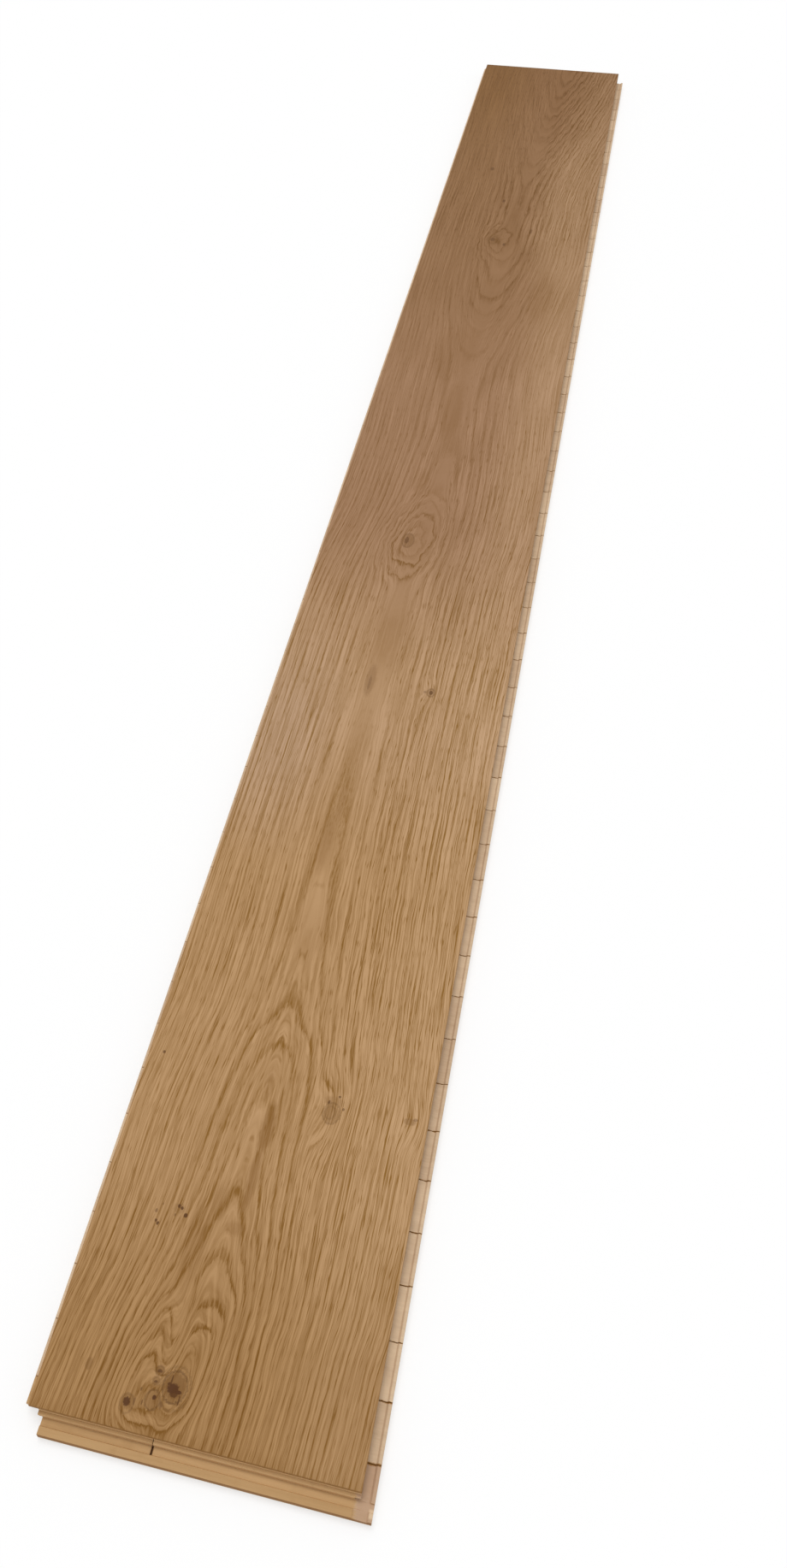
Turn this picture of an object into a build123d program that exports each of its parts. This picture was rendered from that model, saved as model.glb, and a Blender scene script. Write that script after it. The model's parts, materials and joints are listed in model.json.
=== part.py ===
from build123d import *
import os

# A three-layer oak floorboard with a click profile on all four edges, lying face up.
# X runs across the board, from its tongue edge to its groove edge. Y runs along it, from the
# end whose lower lip sticks out to the end that hooks over such a lip. Z is up.
# The origin is under the middle of the board, on its underside. All sizes are in millimetres.

# The board and its three layers
face_length = 1900.0
face_width = 190.0
board_thickness = 14.0
wear_thickness = 2.5
backing_thickness = 2.0
edge_bevel = 0.3

# The core slats, which lie crosswise. Places along the board start at the face's near edge.
slat_gap = 0.4
first_joint = 17.0
butt_joint = 73.0
near_slat_pitch = 33.2
near_slat_count = 4
far_slat_count = 51

# Play between two joined boards
joint_play = 0.1
lip_gap = 0.2

# The long edges: a tongue on one, and a groove over a lower lip on the other.
# Depths are measured down from the walking face.
groove_top_depth = 5.2
long_ridge_depth = 7.6
long_seat_depth = 8.8
tongue_reach = 3.0
tongue_height = 2.7
tongue_round = 1.0
groove_spare = 0.3
long_seat_start = 3.3
long_seat_end = 4.8
long_lock_run = 1.1
long_lip_reach = 7.8

# The short ends: a ledge over a lower lip on one, and a hook that drops over them on the other
ledge_depth = 5.0
short_ridge_depth = 7.7
short_seat_depth = 8.9
ledge_reach = 2.2
ledge_round = 0.5
short_seat_end = 6.6
short_lock_run = 0.6
short_lip_reach = 11.8

# Corners of both lips
lip_chamfer = 1.0
lip_round = 0.4

# The corner milled away below the wear layer, where the tongue stops short of the lip end
corner_length = 2.0
corner_width = 5.6
corner_slope_start = 6.7
corner_slope_end = 9.6

# How far a cutter runs past the board's faces
overrun = 5.0

# Edges of the walking face and of the whole board, which stands centred over the origin
overall_width = tongue_reach + face_width + long_lip_reach
overall_length = short_lip_reach + face_length
face_left = tongue_reach - overall_width / 2
face_right = face_left + face_width
face_near = short_lip_reach - overall_length / 2
face_far = face_near + face_length


def section(plane, corners):
    """A closed face on a plane, from corners given as place, depth below the face and corner radius."""
    points = [(place, board_thickness - depth) for place, depth, radius in corners]
    radii = [radius for place, depth, radius in corners]
    return plane * make_face(FilletPolyline(*points, radius=radii, close=True))


def crosswise_section():
    """The board's cross-section: walking face, tongue edge, underside and groove edge in turn."""
    tongue_top = groove_top_depth + joint_play
    tongue_bottom = tongue_top + tongue_height
    groove_wall = face_right - tongue_reach - groove_spare
    recess_wall = face_left + long_lip_reach + lip_gap
    under_seat = long_seat_depth - joint_play
    under_ridge = long_ridge_depth - joint_play
    lock_end = long_seat_end + long_lock_run
    tongue_edge = [
        (face_left + edge_bevel, 0, 0),
        (face_left, edge_bevel, 0),
        (face_left, tongue_top, 0),
        (face_left - tongue_reach, tongue_top, tongue_round),
        (face_left - tongue_reach, tongue_bottom, tongue_round),
        (face_left + long_seat_start, under_seat, 0),
        (face_left + long_seat_end - joint_play, under_seat, 0),
        (face_left + lock_end - joint_play, under_ridge, 0),
        (recess_wall, under_ridge, 0),
        (recess_wall, board_thickness, 0),
    ]
    groove_edge = [
        (face_right + long_lip_reach - lip_chamfer, board_thickness, 0),
        (face_right + long_lip_reach, board_thickness - lip_chamfer, 0),
        (face_right + long_lip_reach, long_ridge_depth, lip_round),
        (face_right + lock_end, long_ridge_depth, lip_round),
        (face_right + long_seat_end, long_seat_depth, 0),
        (face_right + long_seat_start, long_seat_depth, 0),
        (groove_wall, tongue_bottom + joint_play, 0),
        (groove_wall, groove_top_depth, 0),
        (face_right, groove_top_depth, 0),
        (face_right, edge_bevel, 0),
        (face_right - edge_bevel, 0, 0),
    ]
    return section(Plane.XZ, tongue_edge + groove_edge)


def lip_end_waste():
    """The section of what is milled away beyond the end with the long lip."""
    lip_end = face_near - short_lip_reach
    lock_start = face_near - short_seat_end
    return section(Plane.YZ, [
        (face_near + edge_bevel + overrun, -overrun, 0),
        (face_near, edge_bevel, 0),
        (face_near, ledge_depth, 0),
        (face_near - ledge_reach, ledge_depth, ledge_round),
        (face_near - ledge_reach, short_seat_depth, 0),
        (lock_start, short_seat_depth, 0),
        (lock_start - short_lock_run, short_ridge_depth, lip_round),
        (lip_end, short_ridge_depth, lip_round),
        (lip_end, board_thickness - lip_chamfer, 0),
        (lip_end + lip_chamfer + overrun, board_thickness + overrun, 0),
        (-overall_length, board_thickness + overrun, 0),
        (-overall_length, -overrun, 0),
    ])


def hook_end_waste():
    """The section of what is milled away below and beyond the hooked end."""
    recess_wall = face_far - short_lip_reach - lip_gap
    hook_wall = face_far - ledge_reach - lip_gap
    lock_start = face_far - short_seat_end + joint_play
    under_seat = short_seat_depth - joint_play
    under_ridge = short_ridge_depth - joint_play
    under_face = ledge_depth - joint_play
    return section(Plane.YZ, [
        (recess_wall, board_thickness + overrun, 0),
        (recess_wall, under_ridge, 0),
        (lock_start - short_lock_run, under_ridge, 0),
        (lock_start, under_seat, 0),
        (hook_wall, under_seat, 0),
        (hook_wall, under_face, 0),
        (face_far, under_face, 0),
        (face_far, edge_bevel, 0),
        (face_far - edge_bevel - overrun, -overrun, 0),
        (overall_length, -overrun, 0),
        (overall_length, board_thickness + overrun, 0),
    ])


def block(x_low, x_high, y_low, y_high, z_low, z_high):
    """A box between two opposite corners."""
    size = Box(x_high - x_low, y_high - y_low, z_high - z_low, align=(Align.MIN, Align.MIN, Align.MIN))
    return Pos(x_low, y_low, z_low) * size


def across(y_low, y_high, z_low, z_high):
    """A box over the board's whole width."""
    return block(-overall_width, overall_width, y_low, y_high, z_low, z_high)


def tongue_corner_waste():
    """What is milled away where the short lip ends beside the tongue."""
    corner_wall = face_left + corner_width
    recess_wall = face_left + long_lip_reach + lip_gap
    outline = section(Plane.XZ, [
        (-overall_width, wear_thickness, 0),
        (corner_wall, wear_thickness, 0),
        (corner_wall, corner_slope_start, 0),
        (recess_wall, corner_slope_end, 0),
        (recess_wall, board_thickness + overrun, 0),
        (-overall_width, board_thickness + overrun, 0),
    ])
    return extrude(Pos(0, face_near + corner_length, 0) * outline, amount=overall_length)


def groove_corner_waste():
    """What is milled away where the long lip ends beside the hook."""
    groove_wall = face_right - tongue_reach - groove_spare
    recess_wall = face_far - short_lip_reach - lip_gap
    groove_top = board_thickness - groove_top_depth
    return block(groove_wall, overall_width, recess_wall, overall_length, -overrun, groove_top)


def milled_board():
    """The whole board as one form: its cross-section run lengthwise, with ends and corners milled."""
    board = extrude(crosswise_section(), amount=overall_length, both=True)
    for waste in (lip_end_waste(), hook_end_waste()):
        board -= extrude(waste, amount=overall_width, both=True)
    return board - tongue_corner_waste() - groove_corner_waste()


def core_slats(core):
    """The core's slats by name, cut at their joints, which lie a gap apart."""
    half_gap = slat_gap / 2
    core_top = board_thickness
    lip_joint = face_near - short_seat_end - short_lock_run
    joints = [face_near + first_joint + near_slat_pitch * i for i in range(near_slat_count + 1)]
    far_slat_pitch = (face_far - joints[-1]) / far_slat_count
    joints += [joints[-1] + far_slat_pitch * (i + 1) for i in range(far_slat_count)]

    # The strip under the lip's ridge is the last of a slat, glued tight to the next one.
    slats = {"core_slat_01": core & across(-overall_length, lip_joint, 0, core_top)}

    # The second slat is two lengths, butted with a gap between their ends.
    butt = face_left + butt_joint
    y_low, y_high = lip_joint, joints[0] - half_gap
    slats["core_slat_02_left"] = core & block(-overall_width, butt - half_gap, y_low, y_high, 0, core_top)
    slats["core_slat_02_right"] = core & block(butt + half_gap, overall_width, y_low, y_high, 0, core_top)

    for number, (low, high) in enumerate(zip(joints[:-1], joints[1:]), start=3):
        last = number == len(joints) + 1
        y_high = high if last else high - half_gap
        slats[f"core_slat_{number:02d}"] = core & across(low + half_gap, y_high, 0, core_top)
    return slats


def layers():
    """Each piece of the board by name."""
    board = milled_board()
    core_top = board_thickness - wear_thickness
    wear_layer = board & across(-overall_length, overall_length, core_top, board_thickness)
    backing = board & across(-overall_length, overall_length, 0, backing_thickness)
    core = board & across(-overall_length, overall_length, backing_thickness, core_top)
    return {"oak_wear_layer": wear_layer, "backing_veneer": backing} | core_slats(core)


os.makedirs("parts", exist_ok=True)
for name, piece in layers().items():
    export_step(piece, f"parts/{name}.step")
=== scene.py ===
import json
import math
import random

import bpy
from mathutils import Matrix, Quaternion, Vector


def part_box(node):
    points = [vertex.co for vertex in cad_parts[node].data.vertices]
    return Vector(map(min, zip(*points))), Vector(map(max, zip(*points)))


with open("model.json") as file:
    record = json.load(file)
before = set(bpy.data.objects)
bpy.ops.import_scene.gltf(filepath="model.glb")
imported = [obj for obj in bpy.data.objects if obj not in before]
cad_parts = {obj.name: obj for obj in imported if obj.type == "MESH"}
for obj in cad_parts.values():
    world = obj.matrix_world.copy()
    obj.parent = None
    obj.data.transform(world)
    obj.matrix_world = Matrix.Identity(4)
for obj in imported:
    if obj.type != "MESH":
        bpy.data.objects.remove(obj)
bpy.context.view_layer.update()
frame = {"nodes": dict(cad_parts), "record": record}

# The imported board's box, and the near left corner of its walking face. The shaders measure
# from that corner in millimetres: across to the right, along to the far end, and up.
face_low, face_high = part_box("oak_wear_layer")
FACE_CORNER = Vector((face_low.x, face_low.y, face_high.z))
MM = 0.001

# Places on the core, measured in the same way
BUTT_JOINT = 73.0
GROOVE_WALL = 186.7
LONG_RIDGE = 195.9
SHORT_LIP = -11.8
SHORT_SEAT_HEIGHT = -8.9
NOWHERE = -9999.0


# Colours and numbers that vary over a surface

def srgb(red, green, blue):
    """A colour as a screen shows it, from 0 to 255, turned into light."""
    def light(value):
        value /= 255
        return value / 12.92 if value <= 0.04045 else ((value + 0.055) / 1.055) ** 2.4
    return (light(red), light(green), light(blue), 1.0)


class Field:
    """A number that varies over a surface: the output of a node in a material."""

    def __init__(self, paint, socket):
        self.paint = paint
        self.socket = socket

    def math(self, operation, *others):
        node = self.paint.node("ShaderNodeMath", operation=operation)
        for socket, value in zip(node.inputs, (self, *others)):
            self.paint.join(value, socket)
        return Field(self.paint, node.outputs[0])

    def __add__(self, other):
        return self.math("ADD", other)

    def __sub__(self, other):
        return self.math("SUBTRACT", other)

    def __rsub__(self, other):
        return (self * -1) + other

    def __mul__(self, other):
        return self.math("MULTIPLY", other)

    def __truediv__(self, other):
        return self.math("DIVIDE", other)

    def sqrt(self):
        return self.math("SQRT")

    def floor(self):
        return self.math("FLOOR")

    def fraction(self):
        return self.math("FRACT")

    def clamp(self):
        return self.ramp(0, 1)

    def ramp(self, start, end, low=0.0, high=1.0, smooth=False):
        """Goes from low to high while this goes from start to end."""
        node = self.paint.node("ShaderNodeMapRange")
        node.interpolation_type = "SMOOTHSTEP" if smooth else "LINEAR"
        for socket, value in zip(node.inputs[:5], (self, start, end, low, high)):
            self.paint.join(value, socket)
        return Field(self.paint, node.outputs[0])

    def curve(self, points):
        """A smooth curve through points of this against the result, worked out between 0 and 1."""
        inputs = [point[0] for point in points]
        outputs = [point[1] for point in points]
        low, high = min(outputs), max(outputs)
        node = self.paint.node("ShaderNodeFloatCurve")
        line = node.mapping.curves[0]
        while len(line.points) < len(points):
            line.points.new(0.5, 0.5)
        for point, (place, value) in zip(line.points, points):
            share = (place - inputs[0]) / (inputs[-1] - inputs[0])
            point.location = (share, (value - low) / (high - low))
        node.mapping.update()
        self.paint.join(self.ramp(inputs[0], inputs[-1]), node.inputs["Value"])
        return Field(self.paint, node.outputs[0]) * (high - low) + low


class Paint:
    """A node material, built by sums over the places on the board."""

    def __init__(self, name):
        self.material = bpy.data.materials.new(name)
        self.material.use_nodes = True
        self.tree = self.material.node_tree
        self.shader = self.tree.nodes["Principled BSDF"]
        self.coordinates = self.node("ShaderNodeTexCoord")
        place = self.node("ShaderNodeVectorMath", operation="SUBTRACT")
        self.join(self.coordinates.outputs["Object"], place.inputs[0])
        place.inputs[1].default_value = FACE_CORNER
        split = self.node("ShaderNodeSeparateXYZ")
        self.join(place.outputs[0], split.inputs[0])
        self.across, self.along, self.up = [Field(self, socket) / MM for socket in split.outputs]

    def node(self, kind, **settings):
        node = self.tree.nodes.new(kind)
        for name, value in settings.items():
            setattr(node, name, value)
        return node

    def join(self, value, socket):
        """Feeds a socket with a field, another node's socket or a plain value."""
        if isinstance(value, Field):
            value = value.socket
        if isinstance(value, bpy.types.NodeSocket):
            self.tree.links.new(value, socket)
        else:
            socket.default_value = value

    def vector(self, x, y, z):
        node = self.node("ShaderNodeCombineXYZ")
        for socket, value in zip(node.inputs, (x, y, z)):
            self.join(value, socket)
        return node.outputs[0]

    def noise(self, x, y, z, detail=2.0):
        """Soft noise from about -1 to 1, one lump a unit."""
        node = self.node("ShaderNodeTexNoise")
        self.join(self.vector(x, y, z), node.inputs["Vector"])
        node.inputs["Scale"].default_value = 1.0
        node.inputs["Detail"].default_value = detail
        node.inputs["Roughness"].default_value = 0.5
        return (Field(self, node.outputs[0]) - 0.5) * 3.0

    def chance(self, value):
        """A number from 0 to 1 drawn by lot for each whole value."""
        node = self.node("ShaderNodeTexWhiteNoise", noise_dimensions="1D")
        self.join(value, node.inputs["W"])
        return Field(self, node.outputs["Value"])

    def facing(self):
        """How far the surface faces right, along and up, each from -1 to 1."""
        split = self.node("ShaderNodeSeparateXYZ")
        self.join(self.coordinates.outputs["Normal"], split.inputs[0])
        return [Field(self, socket) for socket in split.outputs]

    def attribute(self, name):
        """A number that the object itself carries."""
        node = self.node("ShaderNodeAttribute", attribute_type="OBJECT", attribute_name=name)
        return Field(self, node.outputs["Fac"])

    def mix(self, factor, first, second, blend="MIX"):
        """A colour between two, or one laid over the other."""
        node = self.node("ShaderNodeMix", data_type="RGBA", blend_type=blend)
        self.join(factor, node.inputs[0])
        self.join(first, node.inputs[6])
        self.join(second, node.inputs[7])
        return node.outputs[2]

    def relief(self, height, depth):
        """Raises the surface by a height from 0 to 1 over a depth in millimetres."""
        bump = self.node("ShaderNodeBump")
        bump.inputs["Distance"].default_value = depth * MM
        self.join(height, bump.inputs["Height"])
        self.join(bump.outputs[0], self.shader.inputs["Normal"])


# The oak face. Its growth rings are the levels of one field: the distance from the heart of
# the tree, which passes under the board, less a swelling round each knot.

# Where the heart passes under the face, and how deep, along the board
HEART_PLACE = [(0, 74), (60, 78.5), (110, 82.5), (180, 82.5), (252, 85), (300, 84.5), (450, 81),
               (700, 82), (900, 93), (1100, 88), (1350, 95), (1500, 98), (1700, 108), (1900, 120)]
HEART_DEPTH = [(0, 12.3), (150, 11.5), (175, 12.6), (212, 16.3), (232, 19.8), (252, 23.8), (284, 31.5),
               (350, 35.4), (450, 36.8), (560, 38.6), (680, 39.6), (760, 41), (880, 46), (1060, 50),
               (1140, 46), (1200, 38), (1260, 28), (1320, 18), (1370, 12), (1500, 10), (1900, 8)]

# How many rings lie within a distance from the heart
RINGS = [(0, 0.8), (16.3, 3), (23.8, 4), (31.5, 5), (60, 10.5), (100, 20.5), (150, 34.5)]

# How dark a ring is from its start to its end
RING_DARKNESS = [(0, 1), (0.1, 0.8), (0.24, 0.36), (0.45, 0.1), (0.8, 0), (0.95, 0.45), (1, 1)]

# How strongly the grain shows along the board
GRAIN_STRENGTH = [(0, 1), (560, 1), (800, 0.76), (1000, 0.62), (1260, 0.52), (1400, 0.9), (1900, 1)]

# Knots swell the rings: place across and along, lean to the right, reach sideways, to the far
# end and to the near end, and how many rings they rise
SWELLS = [
    (74, 6, 0.05, 105, 175, 100, 3.3),
    (55, 15, 0.06, 19, 76, 22, 2.9),
    (80, 25, 0.28, 21, 95, 25, 2.2),
    (69.5, 50, 0.02, 10, 55, 34, -1.6),
    (128, 210, 0, 17, 48, 48, 2.2),
    (181, 216, 0, 11, 28, 28, 1.4),
    (77, 793, 0.1, 42, 100, 72, 3.6),
    (128, 601, 0, 11, 28, 28, 0.8),
    (77, 1376, 0, 26, 60, 60, 2.2),
]

# Small spots: place across and along, width, length and darkness
SPOTS = [
    # The knots at the near end
    (76.6, 27, 3.6, 3.2, 1), (79.8, 25.6, 2.3, 1.3, 1), (74.2, 29, 1.5, 1, 0.9),
    (77.8, 24.2, 2.6, 1.8, 0.85), (74.8, 31.6, 0.45, 3, 0.8), (81.4, 21.8, 0.45, 3.8, 0.7),
    (66.7, 34.4, 1.6, 1, 0.75), (66.2, 28.4, 1.2, 0.8, 0.7), (67.7, 20.1, 1.3, 1.4, 1),
    (53.1, 14.6, 2.1, 2.7, 0.95), (57.3, 15.7, 0.7, 2.2, 0.4), (61.6, 16, 0.5, 1.8, 0.6),
    (59.2, 22.8, 0.6, 1.1, 0.5), (72.3, 17, 1.1, 2.4, 0.4),
    # Pin knots beside the first arches
    (50, 130, 1, 1.3, 0.85), (52, 129, 1, 1.2, 0.85), (55.5, 125, 1.3, 1.6, 0.9),
    (49, 124, 0.7, 1.1, 0.45), (37, 124, 0.9, 1.4, 0.5), (38.5, 118, 0.9, 1.1, 0.8),
    (40, 116.5, 0.9, 1.2, 0.85), (40, 129, 0.5, 0.9, 0.35),
    # Small knots to the left and right of the arches
    (10, 230, 1, 1.2, 0.75), (131, 224, 0.9, 1, 0.7), (125, 219, 0.9, 1.3, 0.7),
    (135, 216, 0.8, 1.1, 0.6), (181.5, 219, 1.6, 1.2, 0.4),
    # The middle of the board
    (129, 601, 1.7, 2.6, 0.7), (124, 601, 1.3, 1.8, 0.4), (77, 602, 1.3, 9, 0.3),
    (75, 793, 2.2, 5, 0.5),
    # The far end
    (77, 1378, 3, 4.5, 0.45), (92, 1368, 1.8, 3.4, 0.6), (120, 1406, 1.6, 7, 0.4),
    (78, 1479, 1.8, 4, 0.6), (52, 1565, 2.4, 5, 0.5),
]

# Browned wood round knots, written the same way
STAINS = [
    # The knots at the near end
    (77.2, 28.2, 6.9, 8.4, 0.75), (78, 20, 5.2, 1.6, 0.6), (66.7, 34.8, 2.4, 2.6, 0.6),
    (66.2, 28.9, 2, 2.2, 0.5), (67, 18.6, 4.4, 5.6, 0.4), (53.4, 14.6, 4, 4.6, 0.4),
    # Between the knots and the middle
    (50.5, 128.5, 4.2, 3.6, 0.25), (26, 29, 2.2, 3.8, 0.45), (128, 211, 5.6, 7, 0.35),
    (128, 220, 7, 4, 0.25), (178, 217, 4.2, 2.6, 0.4),
    # The middle of the board
    (77, 605, 4.5, 20, 0.34), (129, 601, 4, 6, 0.3), (76, 793, 6, 11, 0.4),
    # The far end
    (78, 1378, 8, 14, 0.35),
]

# Dark rims of knots: place across and along, width, length and darkness
RIMS = [
    # The knots at the near end
    (77.4, 28, 7, 8.8, 0.7), (77.6, 27.2, 9, 12, 0.35), (67, 18.6, 4.2, 5.4, 0.6),
    (66.7, 34.6, 2.4, 2.6, 0.5), (66.2, 28.9, 1.9, 2.2, 0.4), (53.4, 13.6, 4, 5.2, 0.4),
    # Between the knots and the far end
    (128, 211.5, 5.6, 7.4, 0.42), (127, 212, 3.2, 4.6, 0.28), (76, 793, 5.5, 10, 0.4),
    (77.5, 1377, 6, 9, 0.35), (129, 601, 3, 4.5, 0.4),
]

# Soft dark patches: place across and along, width, length and darkness
PATCHES = [
    # Among the first arches
    (66, 110, 8, 30, 0.24), (73, 138, 7, 13, 0.24), (90.5, 192, 5, 20, 0.6),
    (89.5, 158, 4, 24, 0.5), (84, 222, 3.5, 13, 0.24), (87, 124, 7, 5, 0.3),
    # Along the rest of the board
    (77, 428, 6, 32, 0.26), (81, 468, 3.5, 28, 0.2), (84, 1010, 12, 60, 0.2),
    (72, 885, 8, 22, 0.22), (70, 1120, 26, 60, 0.15), (150, 1250, 16, 60, 0.2),
    (85, 655, 20, 40, 0.16), (84, 350, 14, 45, 0.12), (70, 1560, 34, 90, 0.07),
    (180, 45, 24, 45, 0.1), (35, 1880, 50, 60, 0.1),
]


def growth_field(paint):
    """How many rings a place lies from the heart of the tree, less those by which knots swell
    them, and how far it lies beside the heart."""
    across, along = paint.across, paint.along
    drift = paint.noise(across / 60, along / 260, 3.0, detail=1.0)
    aside = across - along.curve(HEART_PLACE) - drift * 1.6
    depth = along.curve(HEART_DEPTH)
    rings = (aside * aside + depth * depth).sqrt().curve(RINGS)
    wobble = paint.noise(across / 9, along / 22, 23.0, detail=2.0) * along.ramp(350, 1200, 0.03, 0.2)
    for left, near, lean, sideways, far_reach, near_reach, count in SWELLS:
        beyond = along - near
        away = (beyond / far_reach).math("MAXIMUM", beyond / -near_reach)
        beside = (across - left - beyond * lean) / sideways
        distance = (beside * beside + away * away).sqrt() + wobble
        rings = rings - distance.ramp(1, 0, 0, count, smooth=True)

    # The rings spread to both sides at the far end
    rings = rings - along.ramp(1480, 1950, 0, 9, smooth=True)
    wave = paint.noise(across / 8, along / 42, 7.0, detail=2.0)
    swayed = aside + wave * 2
    return rings + wave * along.ramp(1150, 1650, 0.11, 0.4), (swayed * swayed + 20).sqrt()


def blots(paint, places, rag, start, end, rim=False):
    """The darkest of a list of oval spots, or of their rims, at each place, roughened."""
    result = None
    for left, near, width, length, darkness in places:
        beside = (paint.across - left) / width
        away = (paint.along - near) / length
        distance = (beside * beside + away * away).sqrt() + rag
        if rim:
            distance = ((distance - 1) * width).math("ABSOLUTE")
        spot = distance.ramp(start, end, 0.0, darkness, smooth=True)
        result = spot if result is None else result.math("MAXIMUM", spot)
    return result


def oak_face():
    paint = Paint("brushed_oak")
    across, along = paint.across, paint.along
    rings, beside = growth_field(paint)
    rag = paint.noise(across / 0.8, along / 7, 11.0, detail=2.0)
    ragged = rings + rag * 0.11

    # Strokes are longer beyond the near end
    run = along - (along - 350).math("MAXIMUM", 0) * 0.45

    # Each ring starts with a dark row of pores and then pales
    line = ragged.fraction().curve(RING_DARKNESS)
    strength = paint.chance(ragged.floor() + 20) * 0.7 + 0.45
    bold = ragged.ramp(6.04, 5.96) * (along.ramp(900, 1200, 0.45, 0.2) + along.ramp(1200, 1320) * 0.2)
    fading = paint.noise(rings * 0.7, along / 55, 5.0).ramp(-0.9, 0.9, 0.35, 1.15)
    dash = paint.noise(across / 1.1, run / 34, 19.0, detail=2.0).ramp(-0.6, 0.5, 0.3, 1.2)
    heart = rings.ramp(7, 4) * along.ramp(300, 400) * along.ramp(1350, 1250)
    faint = along.ramp(1470, 1600) * across.ramp(140, 100)
    line = line * (strength + bold) * fading * dash * (1 - heart * 0.25) * (1 - faint * 0.75)

    # Fibres follow the rings, with pores between them and gleaming strokes painted in as pale streaks:
    # a painted highlight
    fibre = paint.noise(rings * 4 + beside / 6, run / 75, 2.0, detail=3.0)
    hair = paint.noise(rings * 3.3 + beside / 1.5, run / 48, 13.0, detail=2.0)
    pores = paint.noise(rings * 4 + beside / 2, along / 14, 4.0, detail=1.0).ramp(0.3, 0.8)
    painted_gleam = paint.noise(rings * 3 + beside / 2, run / 60, 8.0, detail=1.0).ramp(0.25, 1.0)
    streak = paint.noise(rings * 1.3, along / 130, 9.0, detail=2.0)
    patch = paint.noise(across / 26, along / 120, 6.0, detail=2.0)

    # They are crisper on the right, but soft over the heart beyond the near end
    crisp = across.ramp(95, 135, smooth=True) * along.ramp(60, 140, smooth=True)
    crisp = crisp * along.ramp(1000, 650, 0.4, 0.85)
    crisp = crisp + rings.ramp(9, 5) * along.ramp(330, 450) * 0.1 + across.ramp(60, 25) * 0.25 + 1.0
    crisp = crisp * (1 - beside.ramp(14, 5) * along.ramp(330, 450) * 0.85)

    # How dark each place is, from the rings, the fibres and soft patches together
    weight = along.ramp(70, 160, 0.88, 0.68) + along.ramp(380, 480) * 0.14
    dark = line * weight + (fibre * 0.25 + hair * 0.5 + pores * 0.54 - painted_gleam * 0.48) * crisp
    patches = blots(paint, PATCHES, rag * 0.25, 1.2, 0.5)
    dark = dark * along.curve(GRAIN_STRENGTH) + streak * 0.14 + patch * 0.07 + patches * 0.5 + 0.26

    # The tone of the whole board: ochre near, pinker in the middle, browner at the far end, and
    # paler on the right
    tone = paint.mix(along.ramp(30, 190, smooth=True), srgb(166, 126, 79), srgb(180, 141, 97))
    tone = paint.mix(along.ramp(380, 560, smooth=True), tone, srgb(182, 145, 107))
    pink = across.ramp(75, 20, smooth=True) * along.ramp(400, 500) * along.ramp(700, 560)
    tone = paint.mix(pink * 0.6, tone, srgb(184, 151, 122))
    tone = paint.mix(along.ramp(580, 840, smooth=True), tone, srgb(161, 123, 90))
    tone = paint.mix(along.ramp(950, 1400, smooth=True), tone, srgb(148, 110, 73))
    tone = paint.mix(along.ramp(1550, 1880, smooth=True), tone, srgb(139, 100, 61))
    olive = across.ramp(100, 20, smooth=True) * along.ramp(1400, 1800)
    tone = paint.mix(olive * 0.6, tone, srgb(129, 89, 38))
    widened = across + along.ramp(1270, 1400, 0, 18) * along.ramp(1700, 1600)
    pale = widened.ramp(118, 178, smooth=True)
    pale = pale * along.ramp(650, 900, 0.6, 1.0, smooth=True)
    tone = paint.mix(pale * along.ramp(1500, 1850, 0.3, 0.16), tone, srgb(205, 170, 132))

    # Dark grain and a painted shade along the near edge multiply the tone, and soft patches are browner
    near_edge_shade = along.ramp(7, 0.5) * 0.14
    light_grain, dark_grain = (1.1, 1.12, 1.17, 1.0), (0.53, 0.41, 0.13, 1.0)
    shade = paint.mix((dark + near_edge_shade).clamp(), light_grain, dark_grain)
    colour = paint.mix(1.0, tone, shade, blend="MULTIPLY")
    colour = paint.mix(patches * 0.7, colour, srgb(134, 92, 44))

    # Knots and pin knots, with ragged rims
    rough = paint.noise(across / 1.3, along / 1.6, 17.0, detail=2.0)
    stain = blots(paint, STAINS, rough * 0.16, 1.15, 0.7)
    colour = paint.mix(stain, colour, srgb(122, 84, 40))
    rim = blots(paint, RIMS, rough * 0.14, 0.8, 0.2, rim=True) * rough.ramp(-0.8, 0.6, 0.4, 1.0)
    colour = paint.mix(rim, colour, srgb(96, 63, 26))
    knot = blots(paint, SPOTS, rough * 0.3, 1.15, 0.72)
    colour = paint.mix(knot, colour, srgb(86, 50, 16))

    # Sawn edges of the veneer are darker
    up = paint.facing()[2]
    edge = up.ramp(0.9, 0.5)
    colour = paint.mix(edge * 0.9, colour, srgb(148, 107, 60))
    paint.join(colour, paint.shader.inputs["Base Color"])
    paint.shader.inputs["Specular IOR Level"].default_value = 0.2
    paint.join(fibre * 0.06 + line * 0.1 + 0.64, paint.shader.inputs["Roughness"])
    paint.relief((fibre * -0.25 - line * 0.45 - hair * 0.2) * up.ramp(0.5, 0.9) + 0.6, 0.12)
    return paint.material


# The core slats lie crosswise, so their fibres run across the board

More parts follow.
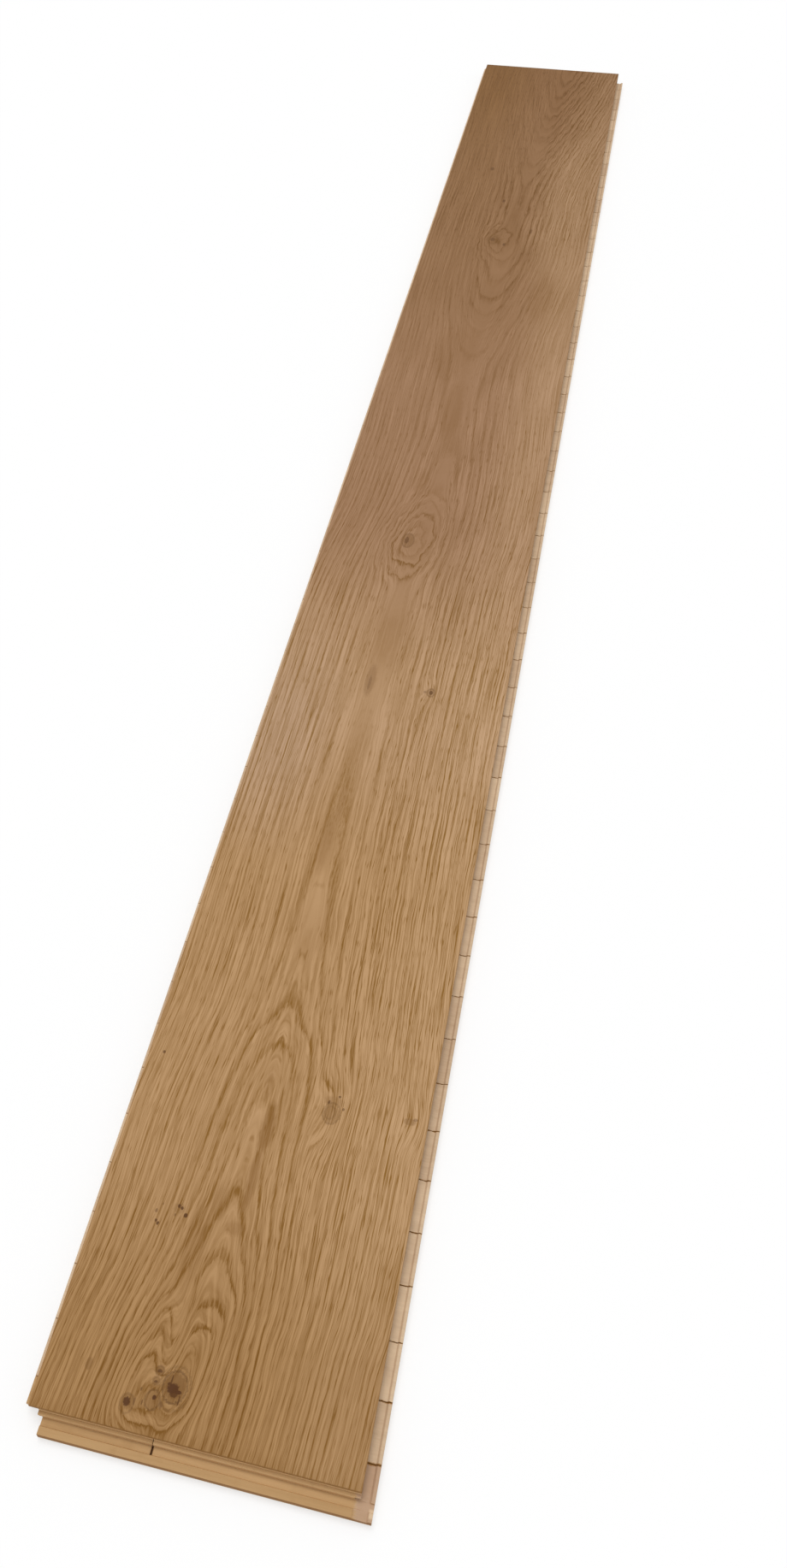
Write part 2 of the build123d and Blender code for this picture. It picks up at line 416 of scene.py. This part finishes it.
def core_wood():
    paint = Paint("core_wood")
    across, along, up = paint.across, paint.along, paint.up
    tone = paint.attribute("tone")
    seed = tone * 50
    right, far_side = paint.facing()[:2]
    fibre = paint.noise(across / 14 + seed, along / 0.9, up / 0.9, detail=3.0)
    band = paint.noise(across / 60 + seed, along / 5, up / 5, detail=2.0)
    stain = paint.noise(across / 8 + seed, along / 12, up / 9, detail=2.0)
    speck = paint.noise(across / 0.5, along / 0.5, up / 0.5, detail=2.0)

    # The slats under the short lip are tan, but pinker where the long edges' milling crosses them
    smear = paint.noise(across / 5, along / 1.5, up / 3, detail=2.0)
    crossing = (across + stain + smear * 1.8).ramp(GROOVE_WALL + 2.2, GROOVE_WALL)
    tan = paint.attribute("tan") * crossing
    pale = paint.mix(tan, srgb(218, 192, 160), srgb(199, 162, 115))
    deep = paint.mix(tan, srgb(178, 145, 113), srgb(163, 124, 78))
    pink = paint.attribute("tan") - tan
    pale = paint.mix(pink * 0.85, pale, srgb(187, 152, 123))
    dark = fibre * (0.16 - tan * 0.05) + band * 0.18 + stain.ramp(0.2, 1.4) * 0.3 + tone * 0.3 + 0.12
    dark = dark + right.math("ABSOLUTE").ramp(0.6, 0.9) * (speck * 0.15 + 0.25)
    colour = paint.mix(dark.clamp(), pale, deep)

    # The long lip's ridge is paler where it ends
    ridge_end = (across + stain * 0.3).ramp(LONG_RIDGE - 0.9, LONG_RIDGE)
    ridge_end = ridge_end * along.ramp(-4.6, -5.6) * along.ramp(-10.4, -9.2)
    colour = paint.mix(ridge_end * 0.8, colour, srgb(222, 194, 160))

    # Torn, dark ends where two slats meet
    torn = paint.noise(across / 2.2 + seed, along / 6, up / 3, detail=2.0)
    near_gap = along - paint.attribute("near_end") + torn * 0.4
    far_gap = paint.attribute("far_end") - along + torn * 0.4
    gap = near_gap.math("MINIMUM", far_gap)
    gap = (gap / paint.attribute("torn")).ramp(0.6, 0.1) * across.ramp(-1.0, 1.0, 0.25, 1.0)
    colour = paint.mix(gap, colour, srgb(146, 100, 44))
    butt_gap = (across - paint.attribute("butt") + torn * 0.08).math("ABSOLUTE").ramp(1.0, 0.4)
    butt_gap = butt_gap * up.ramp(SHORT_SEAT_HEIGHT + 0.7, SHORT_SEAT_HEIGHT + 0.4)
    colour = paint.mix(butt_gap, colour, srgb(88, 54, 22))

    # The short lip's walls that face the near end carry painted light and shade: painted shade makes
    # its outer wall browner, and a painted highlight makes the wall behind its seat paler
    lit_and_shaded_wall = far_side.ramp(-0.5, -0.9)
    shaded_outer_end = along.ramp(SHORT_LIP + 1.8, SHORT_LIP + 0.8)
    colour = paint.mix(lit_and_shaded_wall * shaded_outer_end * 0.8, colour, srgb(136, 88, 38))
    colour = paint.mix(lit_and_shaded_wall * (1 - shaded_outer_end) * 0.6, colour, srgb(222, 182, 132))
    paint.join(colour, paint.shader.inputs["Base Color"])
    paint.shader.inputs["Specular IOR Level"].default_value = 0.2
    paint.join(fibre * 0.05 + 0.75, paint.shader.inputs["Roughness"])
    paint.relief(fibre * 0.3 + speck * 0.2 + 0.5, 0.05)
    return paint.material


def backing_wood():
    paint = Paint("backing_wood")
    across, along, up = paint.across, paint.along, paint.up
    fibre = paint.noise(across / 0.9, along / 40, up / 0.9, detail=3.0)
    band = paint.noise(across / 8, along / 260, up / 5, detail=2.0)
    dark = fibre * 0.15 + band * 0.25 + 0.35
    colour = paint.mix(dark.clamp(), srgb(210, 184, 146), srgb(160, 122, 80))
    paint.join(colour, paint.shader.inputs["Base Color"])
    paint.shader.inputs["Specular IOR Level"].default_value = 0.2
    paint.join(fibre * 0.05 + 0.75, paint.shader.inputs["Roughness"])
    paint.relief(fibre * 0.3 + 0.5, 0.08)
    return paint.material


def dress_board():
    slot_materials = {"oak_face": oak_face(), "core_wood": core_wood(), "backing_wood": backing_wood()}
    draw = random.Random(7)
    for part in frame["record"]["subparts"]:
        piece = frame["nodes"][part["node"]]
        low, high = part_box(part["node"])
        lip_slat = part["node"].startswith(("core_slat_01", "core_slat_02"))
        piece["tone"] = draw.uniform(0.0, 1.2)
        piece["tan"] = 1.0 if lip_slat else 0.0
        if part["node"] in ("core_slat_02_right", "core_slat_03"):
            piece["torn"] = 1.4
        else:
            piece["torn"] = draw.uniform(0.3, 0.8)
        piece["near_end"] = NOWHERE if lip_slat else (low.y - FACE_CORNER.y) / MM
        piece["far_end"] = -NOWHERE if part["node"] == "core_slat_01" else (high.y - FACE_CORNER.y) / MM
        piece["butt"] = BUTT_JOINT if part["node"].startswith("core_slat_02") else NOWHERE
        piece.data.materials.clear()
        piece.data.materials.append(slot_materials[part["material_slot"]])


# The room: a white floor under soft light from above, a little behind and to the left. The floor
# is a hair below the underside, so that the two don't coincide.

def white_floor():
    reach = 6.0
    level = -0.2 * MM
    white_share = 0.6
    mesh = bpy.data.meshes.new("floor")
    corners = [(x * reach, y * reach, level) for x, y in ((-1, -1), (1, -1), (1, 1), (-1, 1))]
    mesh.from_pydata(corners, [], [(0, 1, 2, 3)])
    floor = bpy.data.objects.new("floor", mesh)
    bpy.context.scene.collection.objects.link(floor)
    material = bpy.data.materials.new("white_floor")
    material.use_nodes = True
    tree = material.node_tree
    shader = tree.nodes["Principled BSDF"]
    shader.inputs["Base Color"].default_value = (1.0, 1.0, 1.0, 1.0)
    shader.inputs["Roughness"].default_value = 0.9
    shader.inputs["Specular IOR Level"].default_value = 0.0

    # What the camera sees is part white and part lit, so the shadow stays faint
    rays = tree.nodes.new("ShaderNodeLightPath")
    either = tree.nodes.new("ShaderNodeMath")
    either.operation = "ADD"
    any_ray = tree.nodes.new("ShaderNodeMath")
    any_ray.operation = "ADD"
    any_ray.use_clamp = True
    share = tree.nodes.new("ShaderNodeMath")
    share.operation = "MULTIPLY"
    share.inputs[1].default_value = white_share
    white = tree.nodes.new("ShaderNodeEmission")
    blend = tree.nodes.new("ShaderNodeMixShader")
    tree.links.new(rays.outputs["Is Camera Ray"], either.inputs[0])
    tree.links.new(rays.outputs["Is Glossy Ray"], either.inputs[1])
    tree.links.new(either.outputs[0], any_ray.inputs[0])
    tree.links.new(rays.outputs["Is Transmission Ray"], any_ray.inputs[1])
    tree.links.new(any_ray.outputs[0], share.inputs[0])
    tree.links.new(share.outputs[0], blend.inputs[0])
    tree.links.new(shader.outputs[0], blend.inputs[1])
    tree.links.new(white.outputs[0], blend.inputs[2])
    tree.links.new(blend.outputs[0], tree.nodes["Material Output"].inputs["Surface"])
    mesh.materials.append(material)


def studio_light():
    sky = 0.62
    world = bpy.data.worlds.new("studio")
    world.use_nodes = True
    background = world.node_tree.nodes["Background"]
    background.inputs["Color"].default_value = (1.0, 1.0, 1.0, 1.0)
    background.inputs["Strength"].default_value = sky
    bpy.context.scene.world = world
    towards = Vector((-0.14, 0.24, 0.96)).normalized()
    lamp = bpy.data.lights.new("soft_sun", "SUN")
    lamp.energy = (1 - sky) * math.pi / towards.z
    lamp.angle = math.radians(35)
    light = bpy.data.objects.new("soft_sun", lamp)
    light.rotation_mode = "QUATERNION"
    light.rotation_quaternion = towards.to_track_quat("Z", "Y")
    bpy.context.scene.collection.objects.link(light)


def photo_camera():
    photo_middle, photo_height = 460, 1834
    lens_middle = 320
    place = Vector((104.67, -1118.12, 794.96)) * MM
    aim = Vector((-72.14, -468.65, 14.0)) * MM
    roll = math.radians(1.971)
    data = bpy.data.cameras.new("camera")
    data.sensor_width = 36.0
    data.lens = 30.193
    data.shift_x = (photo_middle - lens_middle) / photo_height
    data.clip_start = 0.01
    camera = bpy.data.objects.new("camera", data)
    camera.location = place
    camera.rotation_mode = "QUATERNION"
    look = (aim - place).to_track_quat("-Z", "Y")
    camera.rotation_quaternion = look
    camera.rotation_quaternion.rotate(Quaternion((aim - place).normalized(), roll))
    bpy.context.scene.collection.objects.link(camera)
    bpy.context.scene.camera = camera


photo_camera()
studio_light()
white_floor()
dress_board()
bpy.context.scene.view_settings.view_transform = "Standard"
